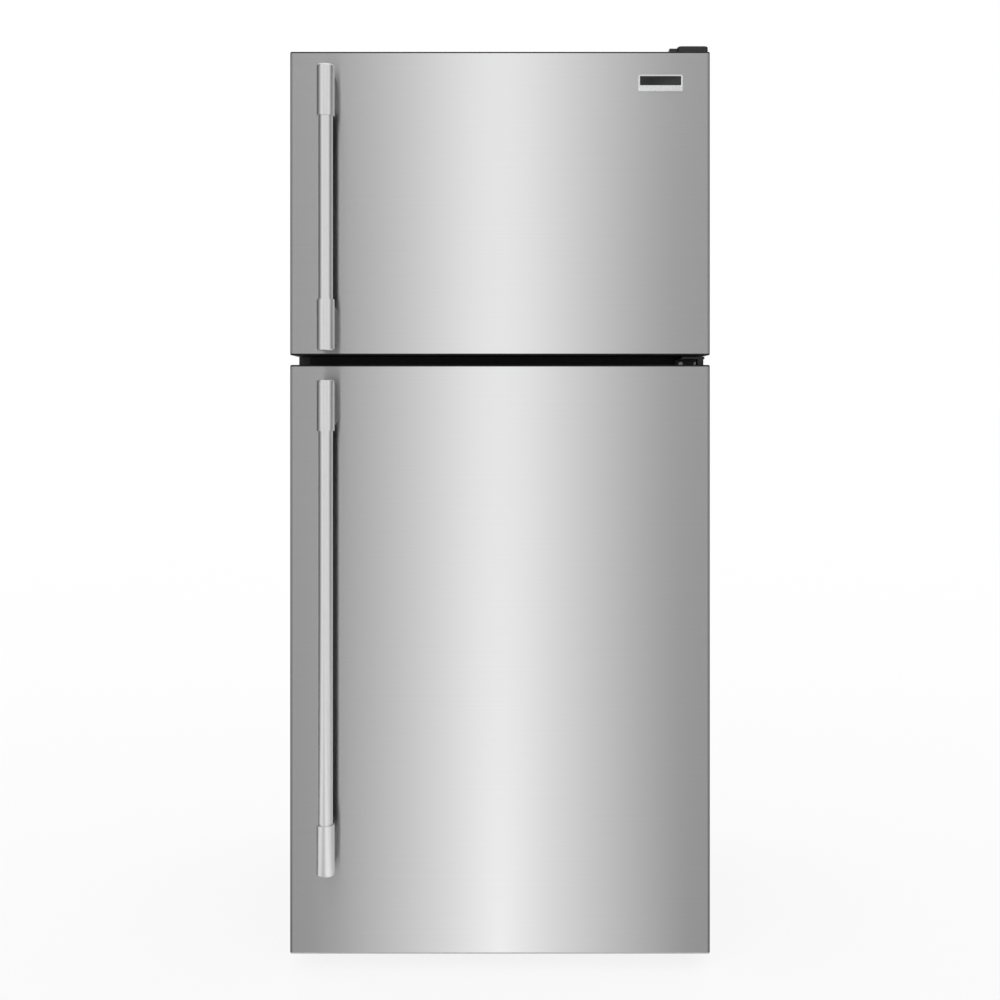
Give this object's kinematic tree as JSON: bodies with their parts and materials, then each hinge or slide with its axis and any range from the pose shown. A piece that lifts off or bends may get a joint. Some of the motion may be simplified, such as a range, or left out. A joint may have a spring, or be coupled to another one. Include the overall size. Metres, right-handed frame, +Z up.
{
  "type": "top freezer refrigerator",
  "caption": "Free-standing refrigerator with a freezer above, hinged stainless doors with bar handles, shelves, drawers and door bins inside, and a cooling unit at the back.",
  "frame": {"origin": "on the floor under the middle of the whole object's box", "axes": "+Z up; +X to the viewer's right; the doors face -Y"},
  "size_m": [0.762, 0.792, 1.6805],
  "materials": {
    "stainless": "satin",
    "door_trim": "satin",
    "handle_steel": "satin",
    "handle_post": "satin",
    "badge_plate": "satin",
    "cabinet_paint": "satin",
    "galvanised": "satin",
    "foam": "matte",
    "liner_white": "satin",
    "gasket": "matte",
    "clear_plastic": "gloss",
    "shelf_glass": "polished",
    "white_wire": "satin",
    "hinge_cover": "satin",
    "hinge_steel": "satin",
    "black_plastic": "matte",
    "leg_steel": "satin",
    "knob_white": "satin",
    "lens": "satin",
    "coil_aluminium": "satin",
    "motor_steel": "satin",
    "compressor_black": "satin",
    "rubber": "matte",
    "copper": "satin"
  },
  "bodies": {
    "cabinet": {"mullion_cover": "door_trim", "cabinet_wrapper": "cabinet_paint", "rear_panel": "galvanised", "base_frame": "galvanised", "machine_panel": "galvanised", "rear_cover": "galvanised", "cabinet_foam": "foam", "freezer_liner": "liner_white", "fresh_food_liner": "liner_white", "evaporator_cover": "liner_white", "control_housing": "liner_white", "shelf_frames": "liner_white", "shelf_and_drawer_rails": "liner_white", "shelf_panes": "shelf_glass", "freezer_shelf": "white_wire", "top_hinge_cover": "hinge_cover", "top_hinge": "hinge_steel", "center_hinge": "hinge_steel", "bottom_hinge": "hinge_steel", "hinge_screws": "hinge_steel", "toe_grille": "black_plastic", "drain_pan": "black_plastic", "cord_inlet": "black_plastic", "lamp_lens": "lens", "evaporator_coil": "coil_aluminium", "condenser_coil": "coil_aluminium", "evaporator_fan_motor": "motor_steel", "condenser_fan_motor": "motor_steel", "compressor": "compressor_black", "compressor_grommets": "rubber", "refrigerant_lines": "copper"},
    "freezer_door": {"freezer_door_skin": "stainless", "freezer_door_caps": "door_trim", "freezer_handle_bar": "handle_steel", "freezer_handle_posts": "handle_post", "freezer_door_foam": "foam", "freezer_door_liner": "liner_white", "freezer_door_gasket": "gasket", "freezer_door_bins": "clear_plastic", "badge": "badge_plate"},
    "fresh_food_door": {"fresh_food_door_skin": "stainless", "fresh_food_door_caps": "door_trim", "fresh_food_handle_bar": "handle_steel", "fresh_food_handle_posts": "handle_post", "fresh_food_door_foam": "foam", "fresh_food_door_liner": "liner_white", "fresh_food_door_gasket": "gasket", "fresh_food_door_bins": "clear_plastic"},
    "left_rear_roller": {"left_rear_roller": "black_plastic"},
    "right_rear_roller": {"right_rear_roller": "black_plastic"},
    "left_leveling_leg": {"left_leveling_leg": "leg_steel"},
    "right_leveling_leg": {"right_leveling_leg": "leg_steel"},
    "evaporator_fan": {"evaporator_fan": "black_plastic"},
    "condenser_fan": {"condenser_fan": "black_plastic"},
    "freezer_knob": {"freezer_knob": "knob_white"},
    "fresh_food_knob": {"fresh_food_knob": "knob_white"},
    "left_crisper": {"left_crisper": "clear_plastic"},
    "right_crisper": {"right_crisper": "clear_plastic"},
    "deli_drawer": {"deli_drawer": "clear_plastic"},
    "dairy_lid": {"dairy_lid": "clear_plastic"}
  },
  "joints": [
    {"name": "freezer_door_hinge", "type": "hinge", "parent": "cabinet", "child": "freezer_door", "pos_m": [0.367, -0.304, 1.1145], "axis": [0, 0, 1], "range_deg": [0, 130]},
    {"name": "fresh_food_door_hinge", "type": "hinge", "parent": "cabinet", "child": "fresh_food_door", "pos_m": [0.367, -0.304, 0.028], "axis": [0, 0, 1], "range_deg": [0, 130]},
    {"name": "dairy_lid_hinge", "type": "hinge", "parent": "fresh_food_door", "child": "dairy_lid", "pos_m": [0, -0.258, 0.934], "axis": [1, 0, 0], "range_deg": [0, 80]},
    {"name": "left_crisper_slide", "type": "slide", "parent": "cabinet", "child": "left_crisper", "axis": [0, -1, 0], "range_m": [0, 0.09]},
    {"name": "right_crisper_slide", "type": "slide", "parent": "cabinet", "child": "right_crisper", "axis": [0, -1, 0], "range_m": [0, 0.09]},
    {"name": "deli_drawer_slide", "type": "slide", "parent": "cabinet", "child": "deli_drawer", "axis": [0, -1, 0], "range_m": [0, 0.09]},
    {"name": "freezer_knob_turn", "type": "hinge", "parent": "cabinet", "child": "freezer_knob", "pos_m": [-0.075, -0.12, 1.03675], "axis": [0, 1, 0], "range_deg": [-135, 135]},
    {"name": "fresh_food_knob_turn", "type": "hinge", "parent": "cabinet", "child": "fresh_food_knob", "pos_m": [0.075, -0.12, 1.03675], "axis": [0, 1, 0], "range_deg": [-135, 135]},
    {"name": "left_rear_roller_spin", "type": "hinge", "parent": "cabinet", "child": "left_rear_roller", "pos_m": [-0.3502, 0.346, 0.02], "axis": [1, 0, 0], "continuous": true},
    {"name": "right_rear_roller_spin", "type": "hinge", "parent": "cabinet", "child": "right_rear_roller", "pos_m": [0.3502, 0.346, 0.02], "axis": [1, 0, 0], "continuous": true},
    {"name": "left_leveling_leg_turn", "type": "hinge", "parent": "cabinet", "child": "left_leveling_leg", "pos_m": [-0.3502, -0.222, 0], "axis": [0, 0, 1], "continuous": true},
    {"name": "right_leveling_leg_turn", "type": "hinge", "parent": "cabinet", "child": "right_leveling_leg", "pos_m": [0.3502, -0.222, 0], "axis": [0, 0, 1], "continuous": true},
    {"name": "evaporator_fan_spin", "type": "hinge", "parent": "cabinet", "child": "evaporator_fan", "pos_m": [0, 0.282, 1.517], "axis": [0, 1, 0], "continuous": true},
    {"name": "condenser_fan_spin", "type": "hinge", "parent": "cabinet", "child": "condenser_fan", "pos_m": [-0.07, 0.296, 0.1355], "axis": [1, 0, 0], "continuous": true}
  ]
}
